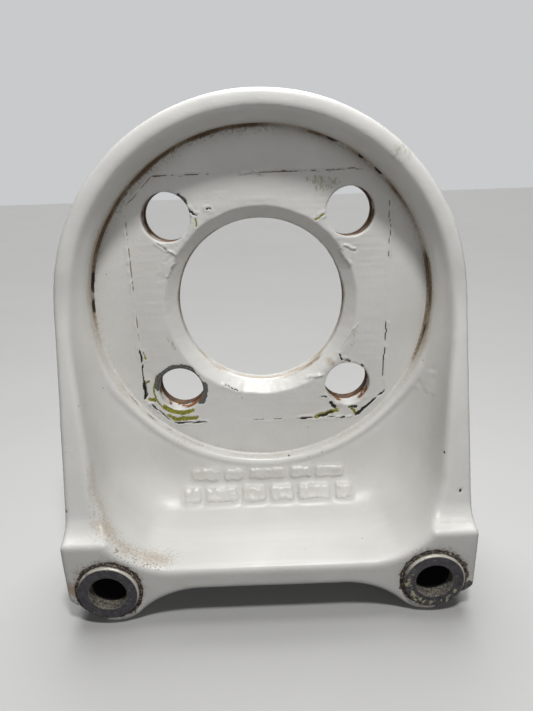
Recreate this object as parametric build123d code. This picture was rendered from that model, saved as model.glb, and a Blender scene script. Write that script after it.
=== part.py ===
from build123d import *
from math import acos, atan2, cos, degrees, radians, sin, sqrt
import os

# Stanchion base: a painted aluminium bracket with a round bored pad, a deep rim around it and two
# drilled feet. Steel pieces are fitted into it: a sleeve in each pad hole and a flanged bush, bedded
# on a ring of sealant, in each foot.
#
# Frame, millimetres: X to the right, Y from the front to the back, Z up. The origin is the centre
# of the large bore, on the machined front face of the pad. The front of the part looks along -Y.

# ---- driving dimensions ----

# outline, looking at the front
HALF_WIDTH = 57.0            # also the radius of the round top
FLANGE_TOP = -65.3           # inside face of the bottom flange
FLANGE_BOTTOM = -72.4        # outside face of the bottom flange
FOOT_X = 44.5                # centre of the round end of each foot
FOOT_Z = -71.65
FOOT_RADIUS = 11.0
FOOT_BLEND = 24.0            # hollow between a foot and the bottom flange
FOOT_FLAT = 10.0             # worn flat on the outer corner, measured from the foot's centre
FOOT_FLAT_ANGLE = -54.6      # direction this flat faces, degrees
FOOT_CORNER = 2.0            # rounding at both ends of the flat

# depths, from the pad face
BACK_Y = 8.5
WEB_Y = -3.0                 # cast face around and below the pad
RIM_Y = -11.7                # front edge of the rim over the top
FOOT_Y = -34.5               # front plane of the feet and the bottom flange
SLOPE_TOP_Z = 4.0            # below this height the side flanges get deeper
SLOPE = 0.285                # depth gained per millimetre of height
SLOPE_BLEND = 40.0           # rounding where the slope begins
ROOF_Z = -56.3               # top of the feet
ROOF_HOLLOW = 6.5            # hollow where a side flange meets the top of a foot

# pocket inside the rim
POCKET_RADIUS = 53.0
POCKET_LEAN = 5.5            # the sides of the pocket close in by this angle, degrees
POCKET_CORNER = 22.5
POCKET_FILLET = 12.0

# pad, bore and pad holes
PAD_RADIUS = 49.7
BORE_RADIUS = 25.0
BORE_CHAMFER = 3.4
HOLE_PITCH = 52.0            # the four holes stand on a square
HOLE_RADIUS = 7.0
SLEEVE_OUTER = 8.5
SLEEVE_LENGTH = 3.0
SLEEVE_CHAMFER = 0.35

# flanged bushes in the feet
BUSH_X = 45.25
BUSH_BORE = 5.1
BUSH_BARREL = 6.5
BUSH_LENGTH = 18.0           # below the flange
BUSH_FLANGE = 8.5
BUSH_FLANGE_THICKNESS = 1.7
BUSH_EDGE = 0.45
SEAT_DEPTH = 0.7             # spot face cut into the foot for the flange
SEAT_RADIUS = 9.7
SEALANT_PROUD = 0.25
FOOT_BORE = 5.5              # clearance bore behind the bush

# rounded edges
OUTER_EDGE = 1.2             # around the outside, at the front
INNER_EDGE = 1.8             # mouth of the pocket
STEP_EDGE = 1.5              # brim of the machined recess
BACK_EDGE = 1.0

# raised foundry blocks below the pad, one tuple of widths for each row
BLOCK_HEIGHT = 4.0
BLOCK_PROUD = 0.6
BLOCK_GAP = 1.4
BLOCK_CORNER = 1.0
BLOCK_ROWS = (
    (-54.6, (9.0, 6.5, 12.0, 6.5, 9.0)),
    (-60.4, (5.5, 10.5, 7.5, 7.5, 10.5, 5.5)),
)

PAST = 5.0                   # how far a cutter runs past the face it cuts
NEAR = 0.01                  # two places closer than this are the same


def facing_front(x, y, z):
    """Plane with its local x along X, its local y along Z and its normal towards the front."""
    return Plane(origin=(x, y, z), x_dir=(1, 0, 0), z_dir=(0, -1, 0))


def slab(face, y_front, y_back):
    """A face drawn in X and Z, extruded along Y between two depths."""
    return extrude(facing_front(0, y_back, 0) * face, y_back - y_front)


def bar(radius, x, z, y_front, y_back):
    """A round bar along Y between two depths."""
    return slab(Pos(x, z) * Circle(radius), y_front, y_back)


def cone(front_radius, back_radius, x, z, y_front, y_back):
    """A round taper along Y between two depths."""
    middle = Pos(x, (y_front + y_back) / 2, z)
    return middle * Rot(X=90) * Cone(back_radius, front_radius, y_back - y_front)


def outline():
    """Outer shape: round top, straight sides, and two round feet with a worn flat each."""
    turn = radians(FOOT_FLAT_ANGLE)
    corner_z = FOOT_Z + (FOOT_FLAT - (HALF_WIDTH - FOOT_X) * cos(turn)) / sin(turn)
    leave = FOOT_FLAT_ANGLE - degrees(acos(FOOT_FLAT / FOOT_RADIUS))
    blend_z = FLANGE_BOTTOM - FOOT_BLEND
    rise = FOOT_Z - blend_z
    run = sqrt((FOOT_RADIUS + FOOT_BLEND) ** 2 - rise ** 2)
    touch = degrees(atan2(-rise, -run))

    foot = CenterArc((FOOT_X, FOOT_Z), FOOT_RADIUS, leave, touch - leave)
    blend = CenterArc((FOOT_X - run, blend_z), FOOT_BLEND, touch + 180, -90 - touch)
    corner = (HALF_WIDTH, corner_z)
    half = make_face([
        CenterArc((0, 0), HALF_WIDTH, 90, -90),
        Line((HALF_WIDTH, 0), corner),
        Line(corner, foot @ 0),
        foot,
        blend,
        Line(blend @ 1, (0, FLANGE_BOTTOM)),
        Line((0, FLANGE_BOTTOM), (0, HALF_WIDTH)),
    ])
    whole = half + mirror(half, Plane.YZ)
    flat_ends = (corner_z, (foot @ 0).Y)
    corners = [v for v in whole.vertices() if min(abs(v.Y - z) for z in flat_ends) < NEAR]
    return fillet(corners, FOOT_CORNER)


def side_profile():
    """Side view of the part: the front edge leans out below the pad and steps out at the feet."""
    knee_y = RIM_Y - SLOPE * (SLOPE_TOP_Z - ROOF_Z)
    top_z = HALF_WIDTH + PAST
    bottom_z = FOOT_Z - FOOT_RADIUS - PAST
    view = make_face(Polyline(
        (BACK_Y, top_z),
        (RIM_Y, top_z),
        (RIM_Y, SLOPE_TOP_Z),
        (knee_y, ROOF_Z),
        (FOOT_Y, ROOF_Z),
        (FOOT_Y, bottom_z),
        (BACK_Y, bottom_z),
        close=True,
    ))

    for y, z, radius in ((RIM_Y, SLOPE_TOP_Z, SLOPE_BLEND), (knee_y, ROOF_Z, ROOF_HOLLOW)):
        corner = [v for v in view.vertices() if abs(v.X - y) + abs(v.Y - z) < NEAR]
        view = fillet(corner, radius)
    return extrude(Plane.YZ * view, HALF_WIDTH + PAST, both=True)


def pocket(inset):
    """Cutter for the pocket, drawn in from its true size by an inset."""
    radius = POCKET_RADIUS - inset
    lean = radians(POCKET_LEAN)
    floor_z = FLANGE_TOP + inset
    side = (radius * cos(lean), -radius * sin(lean))
    low_x = side[0] - (side[1] - floor_z) * sin(lean) / cos(lean)
    half = make_face([
        CenterArc((0, 0), radius, 90, -90 - POCKET_LEAN),
        Line(side, (low_x, floor_z)),
        Line((low_x, floor_z), (0, floor_z)),
        Line((0, floor_z), (0, radius)),
    ])
    whole = half + mirror(half, Plane.YZ)
    corners = [v for v in whole.vertices() if abs(v.Y - floor_z) < NEAR and abs(v.X) > NEAR]
    whole = fillet(corners, POCKET_CORNER - inset)
    cutter = slab(whole, FOOT_Y - PAST, WEB_Y - inset)
    nose = cutter.faces().sort_by(Axis.Y)[-1]
    return fillet(nose.edges(), POCKET_FILLET - inset)


def foundry_blocks():
    """Two rows of blank raised blocks that follow the pocket's floor."""
    skin = pocket(0) - pocket(BLOCK_PROUD)
    blocks = []
    for row_z, widths in BLOCK_ROWS:
        x = -(sum(widths) + BLOCK_GAP * (len(widths) - 1)) / 2
        for width in widths:
            shape = Pos(x + width / 2, row_z) * RectangleRounded(width, BLOCK_HEIGHT, BLOCK_CORNER)
            blocks.append(slab(shape, FOOT_Y / 2, WEB_Y + BLOCK_PROUD) & skin)
            x += width + BLOCK_GAP
    return blocks


def hole_centres():
    """X and Z of the four pad holes."""
    reach = HOLE_PITCH / 2
    return {
        "upper_left": (-reach, reach),
        "upper_right": (reach, reach),
        "lower_left": (-reach, -reach),
        "lower_right": (reach, -reach),
    }


def rounded_blank():
    """Outline and side view together, with the outside edges rounded and the pocket still solid."""
    blank = slab(outline(), FOOT_Y, BACK_Y) & side_profile()
    front_edges = []
    for edge in blank.edges():
        box = edge.bounding_box()
        crosses = box.size.X > HALF_WIDTH and box.size.Z < NEAR
        sharp = abs((edge @ 0).Y - FOOT_Y) < NEAR
        if box.max.Y < BACK_Y - NEAR and (sharp or not crosses):
            front_edges.append(edge)
    blank = fillet(front_edges, OUTER_EDGE)
    back_edges = [e for e in blank.edges() if e.bounding_box().min.Y > BACK_Y - NEAR]
    return fillet(back_edges, BACK_EDGE)


def cut_and_round(body, cutter, radius):
    """Cut, then round the edges where the cutter broke through the body's surface."""
    cut = body - cutter
    old_skin = body.shells()[0]
    cutter_skin = cutter.shells()[0]
    brim = []
    for edge in cut.edges():
        middle = Vertex(edge @ 0.5)
        if old_skin.distance_to(middle) < NEAR and cutter_skin.distance_to(middle) < NEAR:
            brim.append(edge)
    return fillet(brim, radius)


def base_casting():
    """The bracket itself, with every bore that takes another piece."""
    body = cut_and_round(rounded_blank(), pocket(0), INNER_EDGE)
    recess = bar(PAD_RADIUS, 0, 0, RIM_Y - PAST, 0)
    body = cut_and_round(body, recess, STEP_EDGE)
    for block in foundry_blocks():
        body += block
    body -= bar(BORE_RADIUS, 0, 0, -PAST, BACK_Y + PAST)
    body -= cone(BORE_RADIUS + BORE_CHAMFER, BORE_RADIUS, 0, 0, 0, BORE_CHAMFER)
    for x, z in hole_centres().values():
        body -= bar(HOLE_RADIUS, x, z, -PAST, BACK_Y + PAST)
        body -= bar(SLEEVE_OUTER, x, z, BACK_Y - SLEEVE_LENGTH, BACK_Y + PAST)
    for x in (-BUSH_X, BUSH_X):
        body -= bar(SEAT_RADIUS, x, FOOT_Z, FOOT_Y - PAST, FOOT_Y + SEAT_DEPTH)
        body -= bar(BUSH_BARREL, x, FOOT_Z, FOOT_Y, FOOT_Y + SEAT_DEPTH + BUSH_LENGTH)
        body -= bar(FOOT_BORE, x, FOOT_Z, FOOT_Y, BACK_Y + PAST)
    return body


def pad_sleeve(x, z):
    """Steel sleeve pressed into a pad hole from behind, flush with the back."""
    sleeve = bar(SLEEVE_OUTER, x, z, BACK_Y - SLEEVE_LENGTH, BACK_Y)
    sleeve -= bar(HOLE_RADIUS, x, z, 0, BACK_Y + PAST)
    bore_ends = [e for e in sleeve.edges().filter_by(GeomType.CIRCLE) if e.radius < SLEEVE_OUTER]
    return chamfer(bore_ends, SLEEVE_CHAMFER)


def foot_bush(x):
    """Flanged steel bush, pressed into a foot until its flange sits in the spot face."""
    seat_y = FOOT_Y + SEAT_DEPTH
    bush = bar(BUSH_FLANGE, x, FOOT_Z, seat_y - BUSH_FLANGE_THICKNESS, seat_y)
    bush += bar(BUSH_BARREL, x, FOOT_Z, seat_y, seat_y + BUSH_LENGTH)
    bush -= bar(BUSH_BORE, x, FOOT_Z, FOOT_Y - PAST, BACK_Y)
    front_face = bush.faces().sort_by(Axis.Y)[0]
    return fillet(front_face.edges(), BUSH_EDGE)


def bush_sealant(x):
    """Ring of bedding sealant squeezed out around the flange of a bush."""
    seat_y = FOOT_Y + SEAT_DEPTH
    ring = bar(SEAT_RADIUS, x, FOOT_Z, FOOT_Y - SEALANT_PROUD, seat_y)
    return ring - bar(BUSH_FLANGE, x, FOOT_Z, FOOT_Y - PAST, seat_y + PAST)


os.makedirs("parts", exist_ok=True)
pieces = {"base_casting": base_casting()}
for place, (hole_x, hole_z) in hole_centres().items():
    pieces["pad_sleeve_" + place] = pad_sleeve(hole_x, hole_z)
for side, foot_x in (("left", -BUSH_X), ("right", BUSH_X)):
    pieces["foot_bush_" + side] = foot_bush(foot_x)
    pieces["bush_sealant_" + side] = bush_sealant(foot_x)
for name, piece in pieces.items():
    export_step(piece, "parts/" + name + ".step")
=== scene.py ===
import math

import bpy
import numpy as np
from mathutils import Matrix, Vector
from mathutils.bvhtree import BVHTree


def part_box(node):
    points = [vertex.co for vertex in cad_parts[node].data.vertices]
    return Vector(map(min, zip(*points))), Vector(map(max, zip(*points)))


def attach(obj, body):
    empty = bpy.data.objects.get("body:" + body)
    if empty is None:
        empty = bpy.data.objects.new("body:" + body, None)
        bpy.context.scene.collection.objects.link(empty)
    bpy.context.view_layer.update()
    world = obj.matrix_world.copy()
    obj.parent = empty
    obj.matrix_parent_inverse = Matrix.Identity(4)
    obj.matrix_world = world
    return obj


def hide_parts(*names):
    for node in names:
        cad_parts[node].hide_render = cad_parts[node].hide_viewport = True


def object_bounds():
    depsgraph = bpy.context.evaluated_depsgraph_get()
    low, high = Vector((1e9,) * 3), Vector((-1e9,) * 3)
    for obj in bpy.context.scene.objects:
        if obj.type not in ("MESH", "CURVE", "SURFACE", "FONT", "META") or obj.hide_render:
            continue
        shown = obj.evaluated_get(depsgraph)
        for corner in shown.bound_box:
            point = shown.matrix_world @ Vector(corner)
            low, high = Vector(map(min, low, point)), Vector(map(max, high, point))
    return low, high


# The looks of the stanchion base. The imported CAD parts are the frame. The casting is shown as a cast and
# painted copy of its CAD node, with soft lumpy tops on its two rows of blank blocks. A film of worn paint
# with real chips and cracks covers the pad, and uneven sealant beads stand for the two CAD rings. The steel
# sleeves and bushes are the CAD nodes themselves. Lengths below are millimetres, and MM turns them into
# the scene's metres. X is to the right, Z is up, and the front looks along -Y.

MM = 0.001

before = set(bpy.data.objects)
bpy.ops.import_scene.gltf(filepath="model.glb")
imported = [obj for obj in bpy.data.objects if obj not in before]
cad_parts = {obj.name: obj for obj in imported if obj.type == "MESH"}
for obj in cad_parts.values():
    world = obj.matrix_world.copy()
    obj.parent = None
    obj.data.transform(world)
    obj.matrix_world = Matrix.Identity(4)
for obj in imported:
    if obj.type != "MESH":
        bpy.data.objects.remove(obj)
cad_low, cad_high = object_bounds()

PAD_RADIUS = 49.7
BORE_RADIUS = 25.0
BORE_LEAD = 3.4              # width of the 45 degree lead-in round the bore
HOLE_RADIUS = 7.0
HOLE_REACH = 26.0            # a pad hole's distance from the centre lines
PAD_HOLES = [(x, z) for x in (-HOLE_REACH, HOLE_REACH) for z in (-HOLE_REACH, HOLE_REACH)]
IMPRINT = 37.2               # half the side of the square that a flange pressed into the paint
IMPRINT_CUT = 8.3            # how much of each of its corners is cut off
FRONT_OF_RIM_TOP = (0.0, -11.7, 51.0)
KEY_REACH = 280.0            # how far the key light is from it, so near that its light fades downwards


# ---- numbers on grids and point clouds ----

def ramp(low, high, value):
    """0 at low and beyond it, 1 at high and beyond it, smooth between. Either may be the larger."""
    t = np.clip((value - low) / (high - low), 0.0, 1.0)
    return t * t * (3.0 - 2.0 * t)


def hump(value, centre, width):
    """A smooth bump, 1 at centre, that fades within about two widths."""
    return np.exp(-((value - centre) / width) ** 2)


# the random numbers that noise is made of
LATTICE = np.random.default_rng(7).random((32, 32, 32))


def noise(points, size, seed):
    """Smooth noise from -1 to 1. size is the spacing of its lattice, one number or one for each axis."""
    cell = points / np.asarray(size, float) + (seed * 7.31, seed * 3.17, seed * 5.73)
    low = np.floor(cell).astype(int)
    t = cell - low
    t = t * t * (3.0 - 2.0 * t)
    total = 0.0
    for corner in np.ndindex(2, 2, 2):
        at = (low + corner) % 32
        weight = np.prod(np.where(np.array(corner) == 1, t, 1.0 - t), axis=1)
        total = total + LATTICE[at[:, 0], at[:, 1], at[:, 2]] * weight
    return total * 2.0 - 1.0


def turbulence(points, size, seed):
    """Three octaves of noise, about -1 to 1."""
    return (noise(points, size, seed) + 0.5 * noise(points, size / 2, seed + 1)
            + 0.25 * noise(points, size / 4, seed + 2)) / 1.4


def path_distance(points, *path):
    """Distance to a line through several places, in two or three dimensions."""
    away = np.full(len(points), 1e3)
    for start, end in zip(path, path[1:]):
        leg = np.subtract(end, start)
        along = np.clip((points - start) @ leg / (leg @ leg), 0.0, 1.0)
        away = np.minimum(away, np.linalg.norm(points - start - along[:, None] * leg, axis=1))
    return away


def distance(points, place):
    """Distance to one place."""
    return np.linalg.norm(points - place, axis=1)


def most(first, *others):
    """The largest of several values, point by point."""
    for other in others:
        first = np.maximum(first, other)
    return first


def on_plane(x, z, y=0.0):
    """Points at X and Z, on a plane that faces the front. At y = 0 it is the pad's face."""
    return np.column_stack((x, np.full_like(x, y), z))


def rounded_box_distance(x, z, width, height, corner):
    """Signed distance to the outline of a rounded rectangle about the origin, positive inside."""
    over_x = np.abs(x) - width / 2 + corner
    over_z = np.abs(z) - height / 2 + corner
    beyond = np.hypot(most(over_x, 0), most(over_z, 0))
    return corner - beyond - np.minimum(most(over_x, over_z), 0)


def cut_square_distance(x, z, half, cut):
    """Signed distance to a square whose corners are cut off, positive inside."""
    diagonal = (np.abs(x) + np.abs(z) - 2.0 * half + cut) / math.sqrt(2.0)
    return -most(np.abs(x) - half, np.abs(z) - half, diagonal)


def turn_of(x, z):
    """Direction from the centre, in degrees from +X towards +Z, from -90 to 270."""
    turn = np.degrees(np.arctan2(z, x))
    return np.where(turn < -90, turn + 360, turn)


def upper_left_arc(turn):
    """1 in the directions where the dirt round the pad is widest."""
    return ramp(80, 95, turn) * ramp(160, 135, turn)


def rectangles(index):
    """The corners of each cell of a grid of point numbers, X first, wound to face the front."""
    corners = (index[:-1, :-1], index[1:, :-1], index[1:, 1:], index[:-1, 1:])
    return np.stack(corners, axis=-1).reshape(-1, 4)


def round_node(node):
    """A round CAD node's middle, radius, front and back."""
    low, high = (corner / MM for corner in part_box(node))
    return (low + high) / 2, (high.x - low.x) / 2, low.y, high.y


# ---- meshes ----

def placed(name, data):
    """A new object in the scene."""
    thing = bpy.data.objects.new(name, data)
    bpy.context.scene.collection.objects.link(thing)
    return thing


def new_mesh(name, points, faces):
    """A mesh from points in millimetres and the numbers of each face's corners."""
    mesh = bpy.data.meshes.new(name)
    mesh.from_pydata((points * MM).tolist(), [], faces.tolist())
    return mesh


def new_piece(name, mesh):
    """A smooth-shaded object for a mesh, riding on the root body."""
    mesh.name = name
    for polygon in mesh.polygons:
        polygon.use_smooth = True
    piece = placed(name, mesh)
    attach(piece, "root")
    return piece


def read_vectors(mesh, name):
    """One vector for each vertex."""
    vectors = np.empty(len(mesh.vertices) * 3)
    mesh.vertices.foreach_get(name, vectors)
    return vectors.reshape(-1, 3)


def write_points(mesh, points):
    """Moves the vertices to points given in millimetres."""
    mesh.vertices.foreach_set("co", (points * MM).astype(np.float32).ravel())
    mesh.update()


def write_mask(mesh, name, *layers):
    """Stores the largest of the layers, held to 0 to 1, for a material to read by name."""
    values = np.clip(most(*layers), 0, 1)
    layer = mesh.attributes.new(name, "FLOAT", "POINT")
    layer.data.foreach_set("value", values.astype(np.float32))


def smoothed(mesh, points, freedom, rounds):
    """Averages each point with its neighbours, rounds times. freedom is 0 where a point must stay."""
    edges = np.empty(len(mesh.edges) * 2, int)
    mesh.edges.foreach_get("vertices", edges)
    a, b = edges.reshape(-1, 2).T
    count = np.bincount(a, minlength=len(points)) + np.bincount(b, minlength=len(points))
    for _ in range(rounds):
        mean = np.zeros_like(points)
        for axis in range(3):
            mean[:, axis] += np.bincount(a, points[b, axis], len(points))
            mean[:, axis] += np.bincount(b, points[a, axis], len(points))
        mean /= most(count, 1)[:, None]
        points = points + (mean - points) * (0.5 * freedom)[:, None]
    return points


def remeshed(node, voxel):
    """A copy of a CAD node's mesh, made of even small faces."""
    scratch = placed("scratch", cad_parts[node].data.copy())
    weld = scratch.modifiers.new("weld", "WELD")
    weld.merge_threshold = 0.002 * MM
    remesh = scratch.modifiers.new("remesh", "REMESH")
    remesh.mode = "VOXEL"
    remesh.voxel_size = voxel * MM
    graph = bpy.context.evaluated_depsgraph_get()
    mesh = bpy.data.meshes.new_from_object(scratch.evaluated_get(graph))
    bpy.data.objects.remove(scratch)
    mesh.materials.clear()
    return mesh


# ---- materials ----

class Tree:
    """A short way to write a node material. Most methods return an output socket."""

    def __init__(self, name):
        self.material = bpy.data.materials.new(name)
        self.material.use_nodes = True
        self.nodes = self.material.node_tree.nodes
        self.links = self.material.node_tree.links
        self.nodes.clear()
        self.place = self.nodes.new("ShaderNodeTexCoord").outputs["Object"]
        output = self.nodes.new("ShaderNodeOutputMaterial")
        self.shader = self.nodes.new("ShaderNodeBsdfPrincipled")
        self.links.new(self.shader.outputs[0], output.inputs["Surface"])

    def put(self, socket, value):
        """Links a socket to an input, or sets the input to a number or a colour."""
        if isinstance(value, bpy.types.NodeSocket):
            self.links.new(value, socket)
        elif isinstance(value, tuple) and len(value) == 3 and socket.type == "RGBA":
            socket.default_value = (*value, 1.0)
        else:
            socket.default_value = value

    def moved(self, offset=(0, 0, 0), scale=(1, 1, 1)):
        """The place on the piece, scaled and then shifted, so that patterns don't line up."""
        node = self.nodes.new("ShaderNodeMapping")
        self.put(node.inputs["Vector"], self.place)
        node.inputs["Location"].default_value = offset
        node.inputs["Scale"].default_value = scale
        return node.outputs[0]

    def noise(self, size, detail=4.0, roughness=0.55, offset=(0, 0, 0), stretch=(1, 1, 1)):
        """Noise from 0 to 1 whose lumps are about size millimetres."""
        node = self.nodes.new("ShaderNodeTexNoise")
        self.put(node.inputs["Vector"], self.moved(offset, stretch))
        node.inputs["Scale"].default_value = 1.0 / (size * MM)
        node.inputs["Detail"].default_value = detail
        node.inputs["Roughness"].default_value = roughness
        return node.outputs[0]

    def cells(self, size):
        """Distance to the nearest point of a random scatter and that point's random colour."""
        node = self.nodes.new("ShaderNodeTexVoronoi")
        self.put(node.inputs["Vector"], self.moved())
        node.inputs["Scale"].default_value = 1.0 / (size * MM)
        return node.outputs["Distance"], node.outputs["Color"]

    def mask(self, name):
        """A mask stored on the mesh, which is 0 where the mesh has none."""
        node = self.nodes.new("ShaderNodeAttribute")
        node.attribute_name = name
        return node.outputs["Fac"]

    def maths(self, operation, a, b=0.0, c=0.0):
        """One step of arithmetic on up to three values."""
        node = self.nodes.new("ShaderNodeMath")
        node.operation = operation
        for socket, value in zip(node.inputs, (a, b, c)):
            self.put(socket, value)
        return node.outputs[0]

    def times(self, a, b):
        """Two values multiplied."""
        return self.maths("MULTIPLY", a, b)

    def most(self, first, *others):
        """The largest of several values."""
        for other in others:
            first = self.maths("MAXIMUM", first, other)
        return first

    def steps(self, value, low, high, to_low=0.0, to_high=1.0):
        """Goes smoothly from one level to another while value goes from low to high."""
        node = self.nodes.new("ShaderNodeMapRange")
        node.interpolation_type = "SMOOTHSTEP"
        for name, number in (("Value", value), ("From Min", low), ("From Max", high),
                             ("To Min", to_low), ("To Max", to_high)):
            self.put(node.inputs[name], number)
        return node.outputs[0]

    def blend(self, factor, a, b):
        """A colour between a and b."""
        node = self.nodes.new("ShaderNodeMix")
        node.data_type = "RGBA"
        self.put(node.inputs[0], factor)
        self.put(node.inputs[6], a)
        self.put(node.inputs[7], b)
        return node.outputs[2]

    def between(self, factor, a, b):
        """A number between a and b."""
        node = self.nodes.new("ShaderNodeMix")
        self.put(node.inputs[0], factor)
        self.put(node.inputs[2], a)
        self.put(node.inputs[3], b)
        return node.outputs[0]

    def split(self, vector):
        """The three parts of a vector or a colour."""
        node = self.nodes.new("ShaderNodeSeparateXYZ")
        self.put(node.inputs[0], vector)
        return node.outputs

    def bump(self, height, depth, below=None):
        """Bump whose height of 1 stands depth millimetres out."""
        node = self.nodes.new("ShaderNodeBump")
        node.inputs["Distance"].default_value = depth * MM
        self.put(node.inputs["Height"], height)
        if below is not None:
            self.put(node.inputs["Normal"], below)
        return node.outputs[0]

    def finish(self, colour, roughness, metallic=0.0, normal=None, coat=0.0, coat_roughness=0.2):
        """Plugs everything into the shader. Returns the material."""
        for name, value in (("Base Color", colour), ("Roughness", roughness), ("Metallic", metallic),
                            ("Coat Weight", coat), ("Coat Roughness", coat_roughness)):
            self.put(self.shader.inputs[name], value)
        if normal is not None:
            self.put(self.shader.inputs["Normal"], normal)
        return self.material


def rough_edged(tree, name, size, reach, low=0.35, high=0.65, offset=(0, 0, 0)):
    """A mask with its edge broken up by noise."""
    broken = tree.maths("MULTIPLY_ADD", tree.noise(size, 3.0, 0.6, offset), reach, tree.mask(name))
    broken = tree.maths("SUBTRACT", broken, reach / 2)
    return tree.steps(broken, low, high)


def clean_paint(tree, painted_light_and_gloss):
    """Warm white with yellowed patches, streaks, and whiter paint for painted highlights and painted light.
    """
    tone = tree.steps(tree.noise(22, 4.0), 0.3, 0.7)
    colour = tree.blend(tone, (0.735, 0.730, 0.700), (0.80, 0.795, 0.77))
    yellowed = tree.steps(tree.noise(9, 5.0, 0.65, (3, 1, 2)), 0.55, 0.80, 0.0, 0.28)
    colour = tree.blend(yellowed, colour, (0.71, 0.68, 0.60))
    streak = tree.noise(1.3, 4.0, 0.7, (5, 2, 1), (1, 1, 0.10))
    colour = tree.blend(tree.steps(streak, 0.60, 0.80, 0.0, 0.20), colour, (0.50, 0.48, 0.43))
    # painted highlight and painted light: whiter paint on the ridge below the pad, the pocket's floor and
    # the rim's top
    return tree.blend(painted_light_and_gloss, colour, (0.90, 0.895, 0.87))


def dark_specks(tree):
    """A few specks everywhere, and finer ones where the mesh asks for them."""
    away, chance = tree.cells(3.4)
    chosen = tree.steps(tree.split(chance)[0], 0.80, 0.82)
    scattered = tree.times(tree.steps(away, 0.075, 0.04), chosen)
    fine = tree.steps(tree.noise(0.6, 3.0, 0.6, (1, 9, 4)), 0.55, 0.63)
    return tree.most(scattered, tree.times(fine, tree.mask("specks")))


def dirt_over(tree, colour):
    """Brown stain, rust, and grime with painted shade over a colour: the new colour, and the masks of rust
    and of grime with painted shade.
    """
    stain = rough_edged(tree, "stain", 0.8, 0.8, 0.15, 1.0)
    colour = tree.blend(tree.times(stain, 0.85), colour, (0.44, 0.33, 0.215))
    rust = rough_edged(tree, "rust", 0.9, 1.0, 0.40, 0.60, (3, 8, 8))
    rusty = tree.blend(tree.noise(0.5, 4.0, 0.7), (0.07, 0.024, 0.010), (0.42, 0.17, 0.045))
    colour = tree.blend(rust, colour, rusty)
    grime_and_shade = rough_edged(tree, "grime_and_shade", 0.7, 0.6, 0.25, 0.85, (2, 4, 6))
    # the grime mask also holds painted shade and shadow, in the feet's bores and under the blocks and the
    # curls, and takes this brown too
    dirt = tree.blend(tree.noise(0.8, 3.0), (0.105, 0.066, 0.038), (0.30, 0.205, 0.12))
    return tree.blend(grime_and_shade, colour, dirt), rust, grime_and_shade


def chips_over(tree, colour):
    """Green-tinted scratches, chips to primer and to bare metal, and dark gaps: a colour and three masks."""
    scratch = tree.steps(tree.noise(0.5, 3.0, 0.6, (6, 6, 1), (1, 1, 0.35)), 0.44, 0.62)
    tint = tree.times(tree.times(scratch, tree.mask("tint")), 0.55)
    colour = tree.blend(tint, colour, (0.30, 0.29, 0.09))
    primer = rough_edged(tree, "primer", 0.5, 0.5, 0.4, 0.6, (1, 7, 3))
    patchy = tree.steps(tree.noise(0.7, 4.0, 0.7), 0.35, 0.65)
    colour = tree.blend(primer, colour, tree.blend(patchy, (0.14, 0.14, 0.022), (0.40, 0.39, 0.05)))
    bare = rough_edged(tree, "bare", 0.45, 0.5, 0.4, 0.6, (6, 2, 8))
    mottled = tree.steps(tree.noise(0.6, 5.0, 0.75), 0.3, 0.7)
    colour = tree.blend(bare, colour, tree.blend(mottled, (0.075, 0.077, 0.072), (0.23, 0.23, 0.215)))
    # the near black in chips and cracks is grime together with painted shade down in the gaps
    dark = rough_edged(tree, "dark", 0.4, 0.5, 0.3, 0.6, (8, 8, 1))
    return tree.blend(dark, colour, (0.022, 0.019, 0.014)), primer, bare, dark


def paint_material():
    """Thick warm white paint, with grime, chips to green primer and to bare metal, rust, dark cracks and
    painted light.
    """
    tree = Tree("worn_white_paint")
    painted_light_and_gloss = tree.mask("painted_light_and_gloss")
    speck = dark_specks(tree)
    colour = tree.blend(tree.times(speck, 0.75), clean_paint(tree, painted_light_and_gloss), (0.20, 0.135, 0.085))
    colour, rust, grime_and_shade = dirt_over(tree, colour)
    colour, primer, bare, dark = chips_over(tree, colour)
    worn = tree.most(primer, bare, grime_and_shade, dark, rust)

    shine = tree.steps(tree.noise(6, 5.0, 0.6, (4, 4, 4)), 0.3, 0.7, 0.36, 0.52)
    roughness = tree.between(worn, tree.between(painted_light_and_gloss, shine, 0.30), 0.75)
    metallic = tree.times(bare, 0.35)
    normal = tree.bump(tree.noise(3.2, 2.0, 0.5, (9, 1, 5)), 0.07)
    normal = tree.bump(tree.noise(0.9, 3.0, 0.5), 0.045, normal)
    brushed = tree.noise(0.5, 3.0, 0.6, (2, 7, 7), (0.25, 1, 1))
    normal = tree.bump(brushed, 0.030, normal)
    pitted = tree.times(tree.noise(0.3, 3.0, 0.7), worn)
    normal = tree.bump(tree.maths("SUBTRACT", pitted, speck), 0.05, normal)
    coat = tree.times(tree.maths("SUBTRACT", 1.0, worn), 0.80)
    return tree.finish(colour, roughness, metallic, normal, coat, 0.38)


def radial(tree, x, z):
    """Distance from a line along Y, in millimetres."""
    parts = tree.split(tree.place)
    dx = tree.maths("MULTIPLY_ADD", parts[0], 1.0 / MM, -x)
    dz = tree.maths("MULTIPLY_ADD", parts[2], 1.0 / MM, -z)
    return tree.maths("SQRT", tree.maths("ADD", tree.times(dx, dx), tree.times(dz, dz)))


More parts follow.
